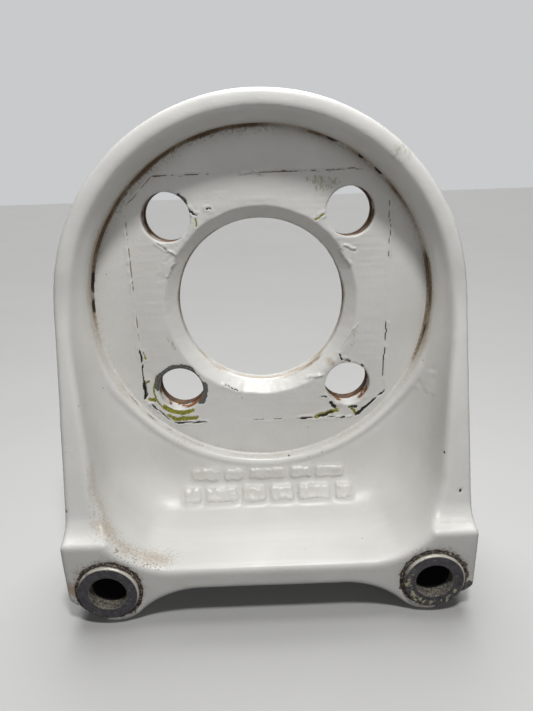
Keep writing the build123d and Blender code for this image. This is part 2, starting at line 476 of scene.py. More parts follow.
def flange_steel(tree, mottle, out, upper, radius):
    """Slate-grey steel, rubbed and rusty in patches, with a painted highlight along its edge on the upper
    side.
    """
    colour = tree.blend(tree.steps(mottle, 0.3, 0.7), (0.085, 0.080, 0.090), (0.165, 0.158, 0.168))
    rub = tree.steps(tree.noise(2.2, 4.0, 0.6, (3, 3, 3)), 0.56, 0.72)
    colour = tree.blend(tree.times(rub, 0.35), colour, (0.30, 0.295, 0.29))
    rust = tree.steps(tree.noise(1.8, 5.0, 0.7, (7, 1, 2)), 0.60, 0.76)
    colour = tree.blend(tree.times(rust, 0.40), colour, (0.11, 0.060, 0.030))
    # painted highlight: a bright line round the flange's outer edge, on its upper side leaning right, where
    # the light catches it
    painted_highlight_edge = tree.steps(out, radius - 0.48, radius - 0.36)
    painted_highlight_edge = tree.times(painted_highlight_edge, tree.steps(tree.noise(1.5, 4.0, 0.6, (2, 2, 9)), 0.28, 0.42))
    return tree.blend(tree.times(painted_highlight_edge, upper), colour, (0.74, 0.71, 0.63))


def bush_material(node, residue):
    """A bush's steel, with smears of old paint where residue is more than 0, and a bore painted as lit at
    its mouth and as dark shade deeper in.
    """
    middle, radius, front, _ = round_node(node)
    tree = Tree(node + "_steel")
    out = radial(tree, middle.x, middle.z)
    x, y, z = (tree.times(part, 1.0 / MM) for part in tree.split(tree.place))
    aside = tree.times(tree.maths("SUBTRACT", x, middle.x), 0.5)
    upper = tree.steps(tree.maths("ADD", tree.maths("SUBTRACT", z, middle.z), aside), -3.0, 4.0)
    mottle = tree.noise(1.1, 6.0, 0.7)
    colour = flange_steel(tree, mottle, out, upper, radius)

    band = tree.times(tree.steps(out, 5.9, 6.8), tree.steps(upper, 0.9, 0.1))
    smear = tree.maths("MULTIPLY_ADD", band, residue, tree.noise(1.3, 5.0, 0.7, (1, 5, 9)))
    smear = tree.steps(smear, 0.70, 0.75)
    cream = tree.blend(tree.noise(0.9, 3.0), (0.62, 0.60, 0.46), (0.36, 0.35, 0.20))
    colour = tree.blend(smear, colour, cream)
    spot = tree.steps(tree.noise(0.8, 2.0, 0.5, (8, 8, 8)), 0.72, 0.75)
    colour = tree.blend(spot, colour, (0.70, 0.69, 0.65))

    # painted light and shade in the bore: its wall is painted as lit for about 3 mm in, then near black as
    # shade
    inside = tree.steps(out, 5.55, 5.25)
    dusty = tree.steps(tree.noise(0.6, 5.0, 0.75), 0.40, 0.66)
    painted_lit_bore_wall = tree.blend(dusty, (0.07, 0.064, 0.056), (0.36, 0.33, 0.28))
    deep = tree.steps(tree.maths("ADD", y, tree.times(mottle, 0.5)), front + 3.1, front + 3.6)
    colour = tree.blend(inside, colour, tree.blend(deep, painted_lit_bore_wall, (0.012, 0.011, 0.012)))

    painted = tree.most(smear, spot, inside)
    roughness = tree.between(painted, tree.steps(mottle, 0.3, 0.7, 0.38, 0.60), 0.65)
    metallic = tree.between(painted, 0.35, 0.0)
    normal = tree.bump(mottle, 0.05)
    normal = tree.bump(tree.noise(0.35, 2.0, 0.5), 0.02, normal)
    normal = tree.bump(tree.most(smear, spot), 0.12, normal)
    return tree.finish(colour, roughness, metallic, normal)


def sleeve_material():
    """Steel gone brown with rust."""
    tree = Tree("rusted_sleeve")
    blotch = tree.noise(1.4, 6.0, 0.7)
    colour = tree.blend(tree.steps(blotch, 0.35, 0.65), (0.045, 0.026, 0.016), (0.20, 0.105, 0.045))
    worn = tree.steps(tree.noise(2.6, 4.0, 0.6, (4, 2, 0)), 0.55, 0.70)
    colour = tree.blend(tree.times(worn, 0.7), colour, (0.22, 0.20, 0.175))
    normal = tree.bump(blotch, 0.12)
    normal = tree.bump(tree.noise(0.35, 4.0, 0.7), 0.05, normal)
    metallic = tree.times(worn, 0.6)
    return tree.finish(colour, tree.steps(blotch, 0.3, 0.7, 0.5, 0.85), metallic, normal)


def sealant_material():
    """Old black sealant with dust and paint dirt in it."""
    tree = Tree("old_sealant")
    lump = tree.noise(0.9, 5.0, 0.7)
    colour = tree.blend(tree.steps(lump, 0.35, 0.68), (0.012, 0.010, 0.009), (0.075, 0.056, 0.044))
    dust = tree.steps(tree.noise(0.7, 5.0, 0.75, (2, 6, 1)), 0.52, 0.60)
    colour = tree.blend(tree.times(dust, 0.8), colour, (0.42, 0.38, 0.33))
    normal = tree.bump(lump, 0.25)
    return tree.finish(colour, tree.steps(lump, 0.3, 0.7, 0.55, 0.9), 0.0, normal)


def floor_material():
    """Pale matte floor with a faint tooth. It throws little light back, so that shadows keep their depth."""
    tree = Tree("pale_floor")
    colour = tree.blend(tree.noise(140, 4.0), (0.50, 0.50, 0.495), (0.55, 0.55, 0.545))
    seen = tree.nodes.new("ShaderNodeLightPath").outputs["Is Camera Ray"]
    colour = tree.blend(seen, (0.06, 0.06, 0.06), colour)
    normal = tree.bump(tree.noise(1.2, 3.0), 0.03)
    return tree.finish(colour, 0.75, 0.0, normal)


# ---- the casting ----

def casting_waviness(points):
    """How far the cast and painted skin stands off its true surface."""
    wave = 0.075 * noise(points, 11.0, 1) + 0.035 * noise(points, 5.0, 2)
    out = np.hypot(points[:, 0], points[:, 2])
    machined = ramp(PAD_RADIUS + 1.5, PAD_RADIUS - 0.5, out) * ramp(-0.5, 0.2, points[:, 1])
    back = ramp(8.0, 8.4, points[:, 1])
    return wave * (1.0 - most(machined, 0.8 * back))


def ridge_bead(points):
    """Thick rounded paint where the pad's wall meets the pocket's floor, with a shallow gutter beyond it."""
    out = np.hypot(points[:, 0], points[:, 2])
    height = 0.66 + 0.14 * noise(points, 7.0, 46) + 0.06 * noise(points, 1.6, 47)
    bead = height * hump(out, PAD_RADIUS + 1.1, 0.95) - 0.24 * hump(out, PAD_RADIUS + 3.3, 1.1)
    return bead * ramp(-1.0, -2.0, points[:, 1]) * ramp(-6.5, -5.0, points[:, 1])


def ring_grime(points):
    """Dirt on the wall round the pad: a brown band, a darker line in the corner, and black streaks."""
    x, y, z = points.T
    out = np.hypot(x, z)
    turn = turn_of(x, z)
    upper_left = upper_left_arc(turn)
    wall = hump(out, PAD_RADIUS + 0.2, 1.7 + 0.8 * upper_left) * ramp(1.0, 0.0, y)
    corner = wall * ramp(-3.4, -0.7, y)
    wall = wall * ramp(-8.0, -3.5, y)
    brown = ramp(-34, -12, turn) * ramp(200, 183, turn)
    faint = 0.45 + 0.55 * brown
    left = ramp(183, 180, turn) * ramp(164, 169, turn)
    right = ramp(-21, -9, turn) * ramp(26, 12, turn)
    patchy = noise(points, 6.0, 4)
    bead = ramp(PAD_RADIUS + 0.2, PAD_RADIUS + 0.7, out) * (1.0 - brown)
    stain = wall * faint * (0.70 + 0.25 * patchy) * (1.0 - bead)
    grime_and_shade = corner * brown * (0.62 + 0.25 * upper_left + 0.45 * patchy)
    lower_left = ramp(196, 206, turn) * ramp(270, 240, turn)
    lip = hump(out, PAD_RADIUS + 0.3, 0.6) * hump(y, -1.2, 0.9) * lower_left
    grime_and_shade = most(grime_and_shade, lip * (0.55 + 0.5 * noise(points, 2.5, 30)))
    streaky = noise(points, (1.2, 1.2, 7.0), 5)
    grime_and_shade = most(grime_and_shade, wall * right * ramp(-5.0, -2.5, y) * (0.85 + 0.4 * streaky))
    black = 1.2 * hump(y, -0.4, 0.6) * wall * left * (0.9 + 0.35 * noise(points, 2.0, 28))
    black = most(black, hump(y, -1.3, 0.9) * wall * right * (0.75 + 0.5 * streaky))
    for chip_turn, chip_width in CORNER_CHIPS:
        black = most(black, 1.5 * corner * hump(y, -0.9, 0.8) * hump(turn, chip_turn, chip_width))
    return stain, grime_and_shade, black * (0.8 + 0.5 * noise(points, 1.6, 6))


def hole_dirt(points):
    """Dirt inside the bore and the pad holes: stain, rust and grime."""
    x, y, z = points.T
    stain, rust, grime_and_shade = (np.zeros(len(points)) for _ in range(3))
    blotch = noise(points, 1.7, 26)
    for hole_x, hole_z in PAD_HOLES:
        out = np.hypot(x - hole_x, z - hole_z)
        wall = ramp(HOLE_RADIUS + 0.8, HOLE_RADIUS + 0.35, out)
        upper = 1.0 if hole_z > 0 else 0.0
        stain = most(stain, wall * (0.15 + 0.45 * upper))
        rust = most(rust, wall * ((0.44 if hole_x > 0 else 0.52) + 0.5 * blotch))
        rust = most(rust, wall * ramp(0.9, 0.3, y) * (0.45 + 0.4 * blotch))
        grime_and_shade = most(grime_and_shade, wall * ramp(4.3, 5.2, y) * ramp(7.0, 6.0, y))
        behind = hump(out, 8.9, 1.6) * ramp(7.6, 8.3, y)
        stain = most(stain, behind * (0.55 + 0.4 * blotch))
        grime_and_shade = most(grime_and_shade, wall * upper * ramp(0.9, 2.2, y) * (0.55 + 0.4 * blotch))
    wall = ramp(BORE_RADIUS + 0.8, BORE_RADIUS + 0.35, np.hypot(x, z)) * ramp(7.4, 6.4, y)
    sides = ramp(-16.0, 5.0, z)
    stain = most(stain, wall * (0.62 + 0.25 * noise(points, 3.0, 27)))
    grime_and_shade = most(grime_and_shade, wall * sides * (0.75 + 0.2 * noise(points, 2.0, 29)))
    return stain, rust, grime_and_shade


# the line along which dirt has settled in the pocket's left corner, and the edge of the shelf below it
BOWL_PATH = ((-49.2, -22.0, -41.0), (-48.4, -24.5, -48.3), (-46.8, -27.5, -53.5), (-43.5, -30.5, -57.5),
             (-38.5, -31.0, -61.8), (-33.0, -30.5, -64.4), (-30.0, -30.0, -65.0))
SHELF_EDGE = ((-42.5, -32.5, -59.0), (-37.7, -33.2, -62.6), (-31.0, -33.3, -65.0))
# other brown smudges, on the front, the back and the underside: place, radius and strength
SMUDGES = (
    ((-55.0, -20.0, -34.0), 3.5, 0.30), ((-37.0, -3.5, -38.0), 3.5, 0.20),
    ((-28.0, -3.5, -43.5), 3.5, 0.25), ((49.0, -18.0, -36.0), 3.5, 0.22),
    ((46.0, -27.0, -56.0), 4.0, 0.22), ((-49.0, -9.0, -16.0), 2.5, 0.20),
    ((0.0, 8.5, 46.0), 9.0, 0.25), ((-34.0, 8.5, -50.0), 10.0, 0.30),
    ((30.0, 8.5, -66.0), 8.0, 0.30), ((45.2, 8.5, -71.6), 8.0, 0.45),
    ((-45.2, 8.5, -71.6), 8.0, 0.45), ((50.0, -10.0, -82.6), 14.0, 0.40),
    ((-50.0, -10.0, -82.6), 14.0, 0.40), ((-54.8, -34.4, -70.0), 3.2, 1.00),
    ((-53.0, -34.4, -65.0), 1.8, 0.45), ((-36.2, -34.4, -74.0), 1.8, 0.60),
)
# small holes in the paint: place and radius
PITS = (
    ((49.6, -22.4, -38.9), 0.62), ((53.6, -26.7, -48.6), 0.42), ((-18.0, -2.7, -47.3), 0.42),
    ((7.0, -2.1, -49.4), 0.34), ((17.5, -3.0, -48.0), 0.34), ((-11.1, -5.6, -59.5), 0.55),
    ((-56.3, -26.9, -50.4), 0.45), ((-22.0, 8.5, 5.0), 0.5), ((12.0, 8.5, -47.0), 0.6),
)
CORNER_CHIPS = ((64.5, 3.0), (55.3, 1.5), (47.5, 2.0))    # direction and half width, in degrees
RIM_SCRATCH = (36.8, -11.0, 40.5)         # where the rim's paint is scratched
DENTS = (                                 # where knocks have dented the skin
    (49.5, -8.6, -19.5), (47.0, -6.2, -25.1), (50.0, -8.8, -27.5), (-30.0, 8.5, 48.0), (52.0, 8.5, -30.0),
)
PAINT_RUN = ((46.7, -30.8, -55.6), (54.1, -30.8, -55.5))    # the two ends of a run in the paint
FOOT_CORNER_TURN = math.radians(-54.6)    # direction of the right foot's lower outer corner from its bush
KNOCK = (55.9, -33.6, -75.4)              # where a piece of paint is knocked off the right foot


def settled_dirt(points):
    """Warm dirt in the pocket's left corner and smudges elsewhere: stain and specks."""
    x, y, z = points.T
    pocket = ramp(-51.0, -49.5, x) * ramp(-34.4, -33.7, y)
    bowl = hump(path_distance(points, *BOWL_PATH), 0.0, 4.2) * pocket
    stain = bowl * (0.50 + 0.24 * noise(points, 3.5, 9))
    specks = bowl * (0.30 + 0.4 * ramp(-44.0, -57.0, z))
    specks = most(specks, 1.3 * pocket * hump(path_distance(points, *SHELF_EDGE), 0.0, 2.2))
    for place, radius, strength in SMUDGES:
        near = hump(distance(points, place), 0.0, radius)
        stain = most(stain, strength * near * (0.9 + 0.6 * noise(points, 2.2, 10)))
        specks = most(specks, 0.7 * strength * near)
    return stain, specks


def painted_light_and_gloss_mask(points):
    """Whiter, glossier paint: the ridge below the pad, the pocket's floor, and the rim over the arch."""
    x, y, z = points.T
    # painted highlight: a whiter band on the pocket's floor where a glint of light falls
    floor = hump(y, -19.5, 7.5) * ramp(-62.5, -64.4, z) * ramp(44.0, 34.0, np.abs(x))
    floor = floor * (0.85 + 0.25 * noise(points, (16.0, 1.4, 3.0), 54))
    # painted light: whiter paint on the rim's upper half, which catches more light
    rim = ramp(PAD_RADIUS + 0.8, PAD_RADIUS + 3.0, np.hypot(x, z)) * ramp(-2.0, -7.0, y)
    rim = rim * ramp(2.0, 24.0, z) * (0.85 + 0.25 * noise(points, 6.0, 55))
    # painted highlight: the ridge's bead is made whiter where the light glints on it
    return most(2.2 * ridge_bead(points), floor, rim)


def pits(points):
    """1 in the middle of each small pit, 0 away from them."""
    deep = np.zeros(len(points))
    for place, radius in PITS:
        deep = most(deep, ramp(radius, radius * 0.5, distance(points, place)))
    return deep


def dents(points):
    """How far the skin is dented or raised by knocks and by runs in the paint."""
    height = np.zeros(len(points))
    for place in DENTS:
        near = hump(distance(points, place), 0.0, 2.2)
        height = height + near * 0.35 * noise(points, 1.3, 38)
    run = hump(path_distance(points, *PAINT_RUN), 0.0, 0.6)
    return height + 0.22 * run * (0.6 + 0.6 * noise(points, 1.4, 39))


def foot_wear_and_bore_shade(points):
    """Dirt round the bushes, painted shade in their bores, and paint worn off the feet's outer corners:
    grime with that painted shade, bare metal and specks.
    """
    x, y, z = points.T
    bush = round_node("foot_bush_right")[0]
    front = ramp(-32.5, -34.0, y)
    away = np.hypot(np.abs(x) - bush.x, z - bush.z)
    ragged = 0.55 * noise(points, 1.2, 33) + 0.35 * noise(points, 0.6, 34)
    grime_and_shade = front * ramp(9.9, 9.2, away - ragged)
    specks = front * hump(away, 9.6, 1.7) * (0.55 + 0.6 * noise(points, 3.0, 37))
    # painted shade: darkens the inside of each foot's bore, where shade falls deep in the through hole
    bore = ramp(6.3, 5.9, away) * ramp(8.6, 7.0, y)
    grime_and_shade = most(grime_and_shade, bore * (0.75 + 0.3 * noise(points, 2.0, 53)))
    corner = (np.abs(x) - bush.x) * math.cos(FOOT_CORNER_TURN) + (z - bush.z) * math.sin(FOOT_CORNER_TURN)
    worn = ramp(8.7, 9.5, corner + 0.9 * noise(points, 2.0, 35)) * ramp(-26.0, -32.0, y)
    bare = worn * np.where(x > 0, 0.95, 0.45 + 0.4 * noise(points, 1.0, 36))
    low = ramp(cad_low.z / MM + 0.9, cad_low.z / MM + 0.2, z)
    bare = most(bare, low * (0.42 + 0.5 * noise(points, 3.0, 52)))
    knock = distance(points, KNOCK) + 0.8 * noise(points, 1.6, 40)
    return grime_and_shade, most(bare, ramp(2.8, 2.2, knock)), specks


def painted_casting():
    """The whole casting under paint: even faces, softened edges and a slightly wavy skin."""
    mesh = remeshed("base_casting", 0.62)
    points = read_vectors(mesh, "co") / MM
    points = smoothed(mesh, points, np.ones(len(points)), 2)
    near_ridge = hump(np.hypot(points[:, 0], points[:, 2]), PAD_RADIUS + 0.6, 1.5)
    points = smoothed(mesh, points, near_ridge * ramp(-0.9, -1.6, points[:, 1]), 10)
    write_points(mesh, points)
    hollow = pits(points)
    proud = casting_waviness(points) + dents(points) + ridge_bead(points) - 0.35 * hollow
    points = points + read_vectors(mesh, "normal") * proud[:, None]
    write_points(mesh, points)

    ring_stain, ring_dirt, ring_dark = ring_grime(points)
    hole_stain, hole_rust, hole_grime = hole_dirt(points)
    pocket_stain, pocket_specks = settled_dirt(points)
    foot_grime_and_bore_shade, foot_bare, foot_specks = foot_wear_and_bore_shade(points)
    scratched = ramp(3.6, 0.8, distance(points, RIM_SCRATCH))
    write_mask(mesh, "stain", ring_stain, hole_stain, pocket_stain)
    write_mask(mesh, "specks", pocket_specks, foot_specks)
    write_mask(mesh, "rust", hole_rust)
    # real grime, with painted shade inside the feet's bores
    write_mask(mesh, "grime_and_shade", ring_dirt, hole_grime, foot_grime_and_bore_shade)
    write_mask(mesh, "bare", foot_bare)
    write_mask(mesh, "tint", scratched)
    write_mask(mesh, "dark", ring_dark, hollow)
    # painted highlights and painted light, together with glossier paint
    write_mask(mesh, "painted_light_and_gloss", painted_light_and_gloss_mask(points))
    piece = new_piece("painted_casting", mesh)
    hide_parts("base_casting")
    return piece


# ---- the foundry blocks ----

BLOCK_HEIGHT = 4.2
BLOCK_GAP = 1.4
BLOCK_ROWS = (               # Z of each row's middle, and the widths of its blocks
    (-54.6, (9.0, 6.5, 12.0, 6.5, 9.0)),
    (-60.4, (5.5, 10.5, 7.5, 7.5, 10.5, 5.5)),
)
BLOCK_STEP = 0.24            # spacing of the grid that a block is made of
BLOCK_RISE = 0.62            # how far a block's top stands off the casting's skin
BLOCK_SUNK = 0.15            # how far its border lies under that skin


def block_sheet(skin, middle_x, row_z, width):
    """A lumpy sheet over one block: its points, the numbers of its faces' corners, its painted shadow and
    its stain.
    """
    across = np.arange(-width / 2 - 0.6, width / 2 + 0.6, BLOCK_STEP)
    up = np.arange(-BLOCK_HEIGHT / 2 - 0.4, BLOCK_HEIGHT / 2 + 0.4, BLOCK_STEP)
    dx, dz = (values.ravel() for values in np.meshgrid(across, up, indexing="ij"))
    x, z = middle_x + dx, row_z + dz
    spots = on_plane(x, z)
    inside = rounded_box_distance(dx, dz, width + 0.6, BLOCK_HEIGHT, 1.2)
    inside = inside + 0.42 * noise(spots, 1.7, 41) + 0.15 * noise(spots, 0.7, 42)
    rise = BLOCK_RISE + 0.18 * noise(spots, 1.6, 43)
    rise = rise * ramp(-0.15, 1.1, inside) - BLOCK_SUNK
    starts = [Vector((start_x, -60.0, start_z)) * MM for start_x, start_z in zip(x, z)]
    y = np.array([skin.ray_cast(start, Vector((0, 1, 0)))[0].y / MM for start in starts]) - rise
    # painted shadow: a dark line along the block's lower edge, where it shades the skin below
    foot = hump(inside, 0.10, 0.30) * ramp(0.6, -1.6, dz)
    grime_and_shade = foot * (0.42 + 0.3 * noise(spots, 1.8, 44))
    stain = 0.22 + 0.2 * noise(spots, 2.5, 45)
    corners = rectangles(np.arange(len(x)).reshape(len(across), len(up)))
    return np.column_stack((x, y, z)), corners, grime_and_shade, stain


def raised_blocks(casting):
    """Soft, lumpy tops for the two rows of blank blocks below the pad, laid on the casting's own skin."""
    skin = BVHTree.FromObject(casting, bpy.context.evaluated_depsgraph_get())
    sheets = []
    for row_z, widths in BLOCK_ROWS:
        left = -(sum(widths) + BLOCK_GAP * (len(widths) - 1)) / 2
        for width in widths:
            sheets.append(block_sheet(skin, left + width / 2, row_z, width))
            left += width + BLOCK_GAP
    points, corners, grime_and_shade, stain = zip(*sheets)
    first = np.cumsum([0] + [len(sheet) for sheet in points[:-1]])
    faces = np.concatenate([numbers + start for numbers, start in zip(corners, first)])
    mesh = new_mesh("raised_blocks", np.concatenate(points), faces)
    write_mask(mesh, "stain", np.concatenate(stain))
    # painted shadow along the blocks' lower edges
    write_mask(mesh, "grime_and_shade", np.concatenate(grime_and_shade))
    return new_piece("raised_blocks", mesh)


# ---- the film of paint on the pad ----

FILM = 0.20                  # thickness of the paint
FILM_STEP = 0.30             # spacing of the film's grid
FILM_EDGE = 0.27             # width over which a chip's edge goes down

# chips through the paint, by what shows in them: start, end and half width
CHIPS = {
    "bare": (
        ((-37.0, -23.9), (-36.8, -27.4), 0.55), ((25.4, -18.2), (26.6, -18.6), 0.25),
        ((-29.0, 19.0), (-26.6, 17.2), 0.14),
    ),
    "dark": (
        ((-37.3, -24.4), (-37.2, -28.4), 0.22), ((-12.2, -25.2), (-8.2, -27.0), 0.16),
        ((20.8, -32.4), (22.2, -33.8), 0.42), ((21.0, -35.6), (17.0, -36.9), 0.35),
        ((26.6, -34.0), (29.0, -33.8), 0.28), ((29.0, -36.3), (33.2, -33.0), 0.40),
        ((23.3, -16.4), (24.0, -17.9), 0.28), ((30.2, -19.8), (30.9, -20.2), 0.22),
        ((18.2, -30.0), (19.4, -30.3), 0.25), ((-19.3, 27.8), (-17.3, 26.3), 0.20),
        ((-14.3, 28.2), (-12.9, 27.7), 0.18), ((-36.4, 32.6), (-36.0, 32.9), 0.30),
    ),
    "primer": (
        ((-36.5, -23.2), (-36.0, -23.0), 0.45), ((-35.8, -29.2), (-34.4, -29.2), 0.65),
        ((-36.4, -13.2), (-35.8, -15.6), 0.25), ((-30.6, -34.6), (-28.4, -35.9), 0.50),
        ((-28.4, -35.9), (-21.6, -35.7), 0.62), ((22.6, -34.9), (16.2, -36.8), 0.75),
        ((27.6, -34.6), (28.8, -35.9), 0.55), ((-17.6, 24.9), (-17.4, 23.4), 0.35),
        ((16.0, 24.0), (18.6, 25.4), 0.24),
    ),
    "tint": (
        ((28.5, -8.8), (27.2, -13.6), 0.45), ((-28.4, -8.9), (-26.6, -12.3), 0.50),
        ((14.4, 35.2), (22.0, 34.2), 1.10), ((16.4, 32.6), (20.6, 33.0), 0.80),
    ),
}
# brownish smears on the film: X, Z, radius and strength
SMEARS = (
    (20.6, -19.4, 2.0, 0.55), (25.5, -18.0, 1.6, 0.45), (30.4, -31.6, 2.0, 0.40), (23.5, -33.6, 2.4, 0.45),
    (-13.5, 26.5, 2.0, 0.35), (14.5, 22.6, 1.8, 0.30), (-30.0, -30.0, 2.6, 0.25), (18.0, 34.6, 2.6, 0.30),
)
# raised curls of loose paint: start, end, half width
CURLS = (
    ((-4.4, 37.4), (-1.0, 37.2), 0.45), ((-0.9, 37.8), (1.4, 37.0), 0.50),
    ((-26.9, 9.4), (-25.0, 12.9), 0.40), ((23.0, 15.6), (26.2, 11.0), 0.45),
    ((28.8, -6.6), (23.9, -14.6), 0.30), ((13.7, -23.9), (18.1, -22.7), 0.45),
    ((-36.2, -30.4), (-33.4, -33.2), 0.50), ((10.6, -36.6), (15.4, -36.6), 0.40),
    ((22.6, -37.2), (27.6, -37.2), 0.35), ((-21.6, -36.7), (-18.8, -37.0), 0.35),
    ((-26.4, 17.0), (-24.2, 15.8), 0.35), ((24.4, 16.8), (27.6, 15.6), 0.30),
)
SCRAPED = (38.0, 137.0, 155.0, -44.0)     # directions in which the lead-in's edge is scraped
# other places where the paint is torn up: X, Z and radius
ROUGH_PATCHES = (
    (21.5, -20.5, 2.6), (24.0, -34.5, 3.4), (32.0, -31.5, 2.6), (-33.5, -32.0, 2.6), (-35.8, -20.0, 1.8),
    (-17.5, 27.0, 2.6), (36.8, -18.0, 1.6), (36.8, -25.0, 1.6), (-2.0, 37.0, 2.4),
)
# open stretches of the pressed outline, by what shows in them: from and to, as directions, and half width
CRACKS = {
    "dark": (
        (-73.5, -61.5, 0.24), (-61.5, -52.0, 0.18), (-52.0, -38.5, 0.20), (-38.5, -28.0, 0.12),
        (-28.0, -9.5, 0.15), (198.0, 211.0, 0.17), (211.0, 219.0, 0.22), (219.0, 243.0, 0.17),
    ),
    "grime_and_shade": (
        (19.0, 38.0, 0.11), (52.0, 89.0, 0.14), (109.5, 131.0, 0.15), (131.0, 152.0, 0.10),
        (152.0, 173.0, 0.15), (181.0, 198.0, 0.11), (264.0, 270.0, 0.09), (-90.0, -82.0, 0.10),
    ),
}
BREAKS = {"dark": 1.3, "grime_and_shade": 0.8}      # how much the width of each kind of crack changes along it


def within(start, end, turn):
    """1 in the directions from start to end, fading over about a degree at both."""
    return ramp(start - 0.6, start + 0.6, turn) * ramp(end + 0.6, end - 0.6, turn)


def open_chips(warped, opened):
    """Opens the chips in the masks. Returns how far the paint round them is lifted."""
    lifted = np.zeros(len(warped))
    for kind, chips in CHIPS.items():
        for start, end, half in chips:
            away = path_distance(warped, start, end)
            chip = ramp(half + FILM_EDGE / 2, half - FILM_EDGE / 2, away)
            opened[kind] = most(opened[kind], chip)
            if kind != "tint":
                lifted = most(lifted, 0.14 * hump(away, half + 0.40, 0.30))
    return lifted


def open_outline(turn, path, spots, opened):
    """Opens the cracks along the pressed outline. Returns the lip of paint just outside it."""
    lifted = np.zeros_like(turn)
    for kind, cracks in CRACKS.items():
        ragged = np.clip(0.90 + BREAKS[kind] * noise(spots, 1.8, 17), 0.0, 1.5)
        for start, end, half in cracks:
            here = within(start, end, turn)
            width = half * ragged * here
            gap = ramp(width + FILM_EDGE / 3, width - FILM_EDGE / 3, np.abs(path))
            opened[kind] = most(opened[kind], gap * ramp(0.01, 0.07, width))
            lip = here * hump(path, -0.60, 0.32) * (0.5 + 0.9 * noise(spots, 1.6, 18))
            lifted = most(lifted, (0.12 + 0.7 * half) * lip)
    return lifted


def add_curls(warped, spots, opened, raised):
    """Raises the curls, with a painted shadow under each. Returns the new height."""
    for start, end, half in CURLS:
        away = path_distance(warped, start, end)
        raised = most(raised, 0.42 * hump(away, 0.0, half) * (0.9 + 0.4 * noise(spots, 1.1, 49)))
        raised = raised - 0.10 * hump(away, half * 2.2, 0.25)
        # painted shadow: a dark line just below each curl
        under = path_distance(warped + (0, 1.1 * half), start, end)
        opened["grime_and_shade"] = most(opened["grime_and_shade"], 0.62 * hump(under, 0.0, 0.20))
    return raised


def open_hole_edges(x, z, spots, opened):
    """Opens the paint round the two left holes: bare metal, with slivers of green primer below."""
    out = np.hypot(x + HOLE_REACH, z + HOLE_REACH) + 0.22 * noise(spots, 0.9, 19)
    turn = turn_of(x + HOLE_REACH, z + HOLE_REACH)
    width = 1.35 * ramp(186, 170, turn) * ramp(44, 62, turn)
    width = width + 1.45 * ramp(-46, -36, turn) * ramp(24, 12, turn)
    width = width + 0.35 * ramp(18, 26, turn) * ramp(60, 52, turn)
    edge = HOLE_RADIUS + width
    ring = ramp(edge + FILM_EDGE / 2, edge - FILM_EDGE / 2, out) * (width > 0.15)
    below = most(ramp(214, 226, turn), ramp(-56, -66, turn))
    green = ramp(7.05, 7.35, out) * ramp(7.3 + 1.4 * below, 7.0 + 1.3 * below, out) * below
    sliver = ramp(8.0, 8.2, out) * ramp(8.75, 8.5, out) * ramp(138, 146, turn)
    opened["primer"] = most(opened["primer"], green, sliver)
    out = np.hypot(x + HOLE_REACH, z - HOLE_REACH) + 0.25 * noise(spots, 0.8, 20)
    turn = turn_of(x + HOLE_REACH, z - HOLE_REACH)
    nick = ramp(7.9, 7.6, out) * ramp(26, 32, turn) * ramp(62, 56, turn)
    opened["bare"] = most(opened["bare"], ring, nick)


def torn_paint(x, z, turn, spots):
    """Rough height where the lead-in's edge is scraped and where the paint is torn up."""
    out = np.hypot(x, z)
    torn = np.zeros_like(x)
    for middle in SCRAPED:
        torn = most(torn, hump(turn, middle, 13.0) * hump(out, BORE_RADIUS + BORE_LEAD + 1.2, 2.4))
    for patch_x, patch_z, radius in ROUGH_PATCHES:
        torn = most(torn, hump(np.hypot(x - patch_x, z - patch_z), 0.0, radius))
    return torn * (0.13 * noise(spots, 1.3, 50) + 0.07 * noise(spots, 0.7, 51))


def film_masks(x, z):
    """Where the film is opened, as a mask for each kind of thing that shows, and how far it stands up."""
    spots = on_plane(x, z)
    turn = turn_of(x, z)
    wx = x + 0.35 * noise(spots, 1.1, 11) + 0.15 * noise(spots, 0.5, 12)
    wz = z + 0.35 * noise(spots, 1.1, 13) + 0.15 * noise(spots, 0.5, 14)
    warped = np.column_stack((wx, wz))
    path = cut_square_distance(x, z, IMPRINT, IMPRINT_CUT)
    path = path + 0.35 * noise(spots, 4.0, 15) + 0.22 * noise(spots, 1.2, 16)
    opened = {kind: np.zeros_like(x) for kind in ("primer", "bare", "dark", "grime_and_shade", "tint")}

    raised = most(open_chips(warped, opened), open_outline(turn, path, spots, opened))
    raised = add_curls(warped, spots, opened, raised)
    open_hole_edges(x, z, spots, opened)
    raised = raised + torn_paint(x, z, turn, spots)

    inside = ramp(-0.2, 0.9, path)
    combed = noise(spots, (7.0, 1.0, 0.9), 21) + 0.6 * noise(spots, (2.5, 1.0, 1.6), 22)
    raised = raised + inside * (0.034 * combed - 0.05)
    raised = raised + 0.03 * noise(spots, 9.0, 23)
    return opened, raised


def film_front(x, z, opened, raised):
    """Y of the film's front: the pad, its lead-in and the rolled edges of the holes, under paint."""
    out = np.hypot(x, z)
    spots = on_plane(x, z)
    lead = BORE_RADIUS + BORE_LEAD - out + 0.22 * turbulence(spots, 4.0, 25)
    y = 0.5 * (lead + np.sqrt(lead ** 2 + 0.03))
    for hole_x, hole_z in PAD_HOLES:
        inward = np.clip((HOLE_RADIUS + 0.30 - np.hypot(x - hole_x, z - hole_z)) / 0.40, 0, 1)
        y = y + 0.28 * (1.0 - np.sqrt(1.0 - np.minimum(inward, 0.98) ** 2))
    outer = np.clip((out - PAD_RADIUS + 1.1) / 0.9, 0, 1)
    y = y + 0.16 * outer ** 2
    away = (opened["dark"], opened["bare"], 0.75 * opened["primer"], 0.6 * opened["grime_and_shade"])
    return y - 0.02 - (FILM + raised) * (1.0 - most(*away))


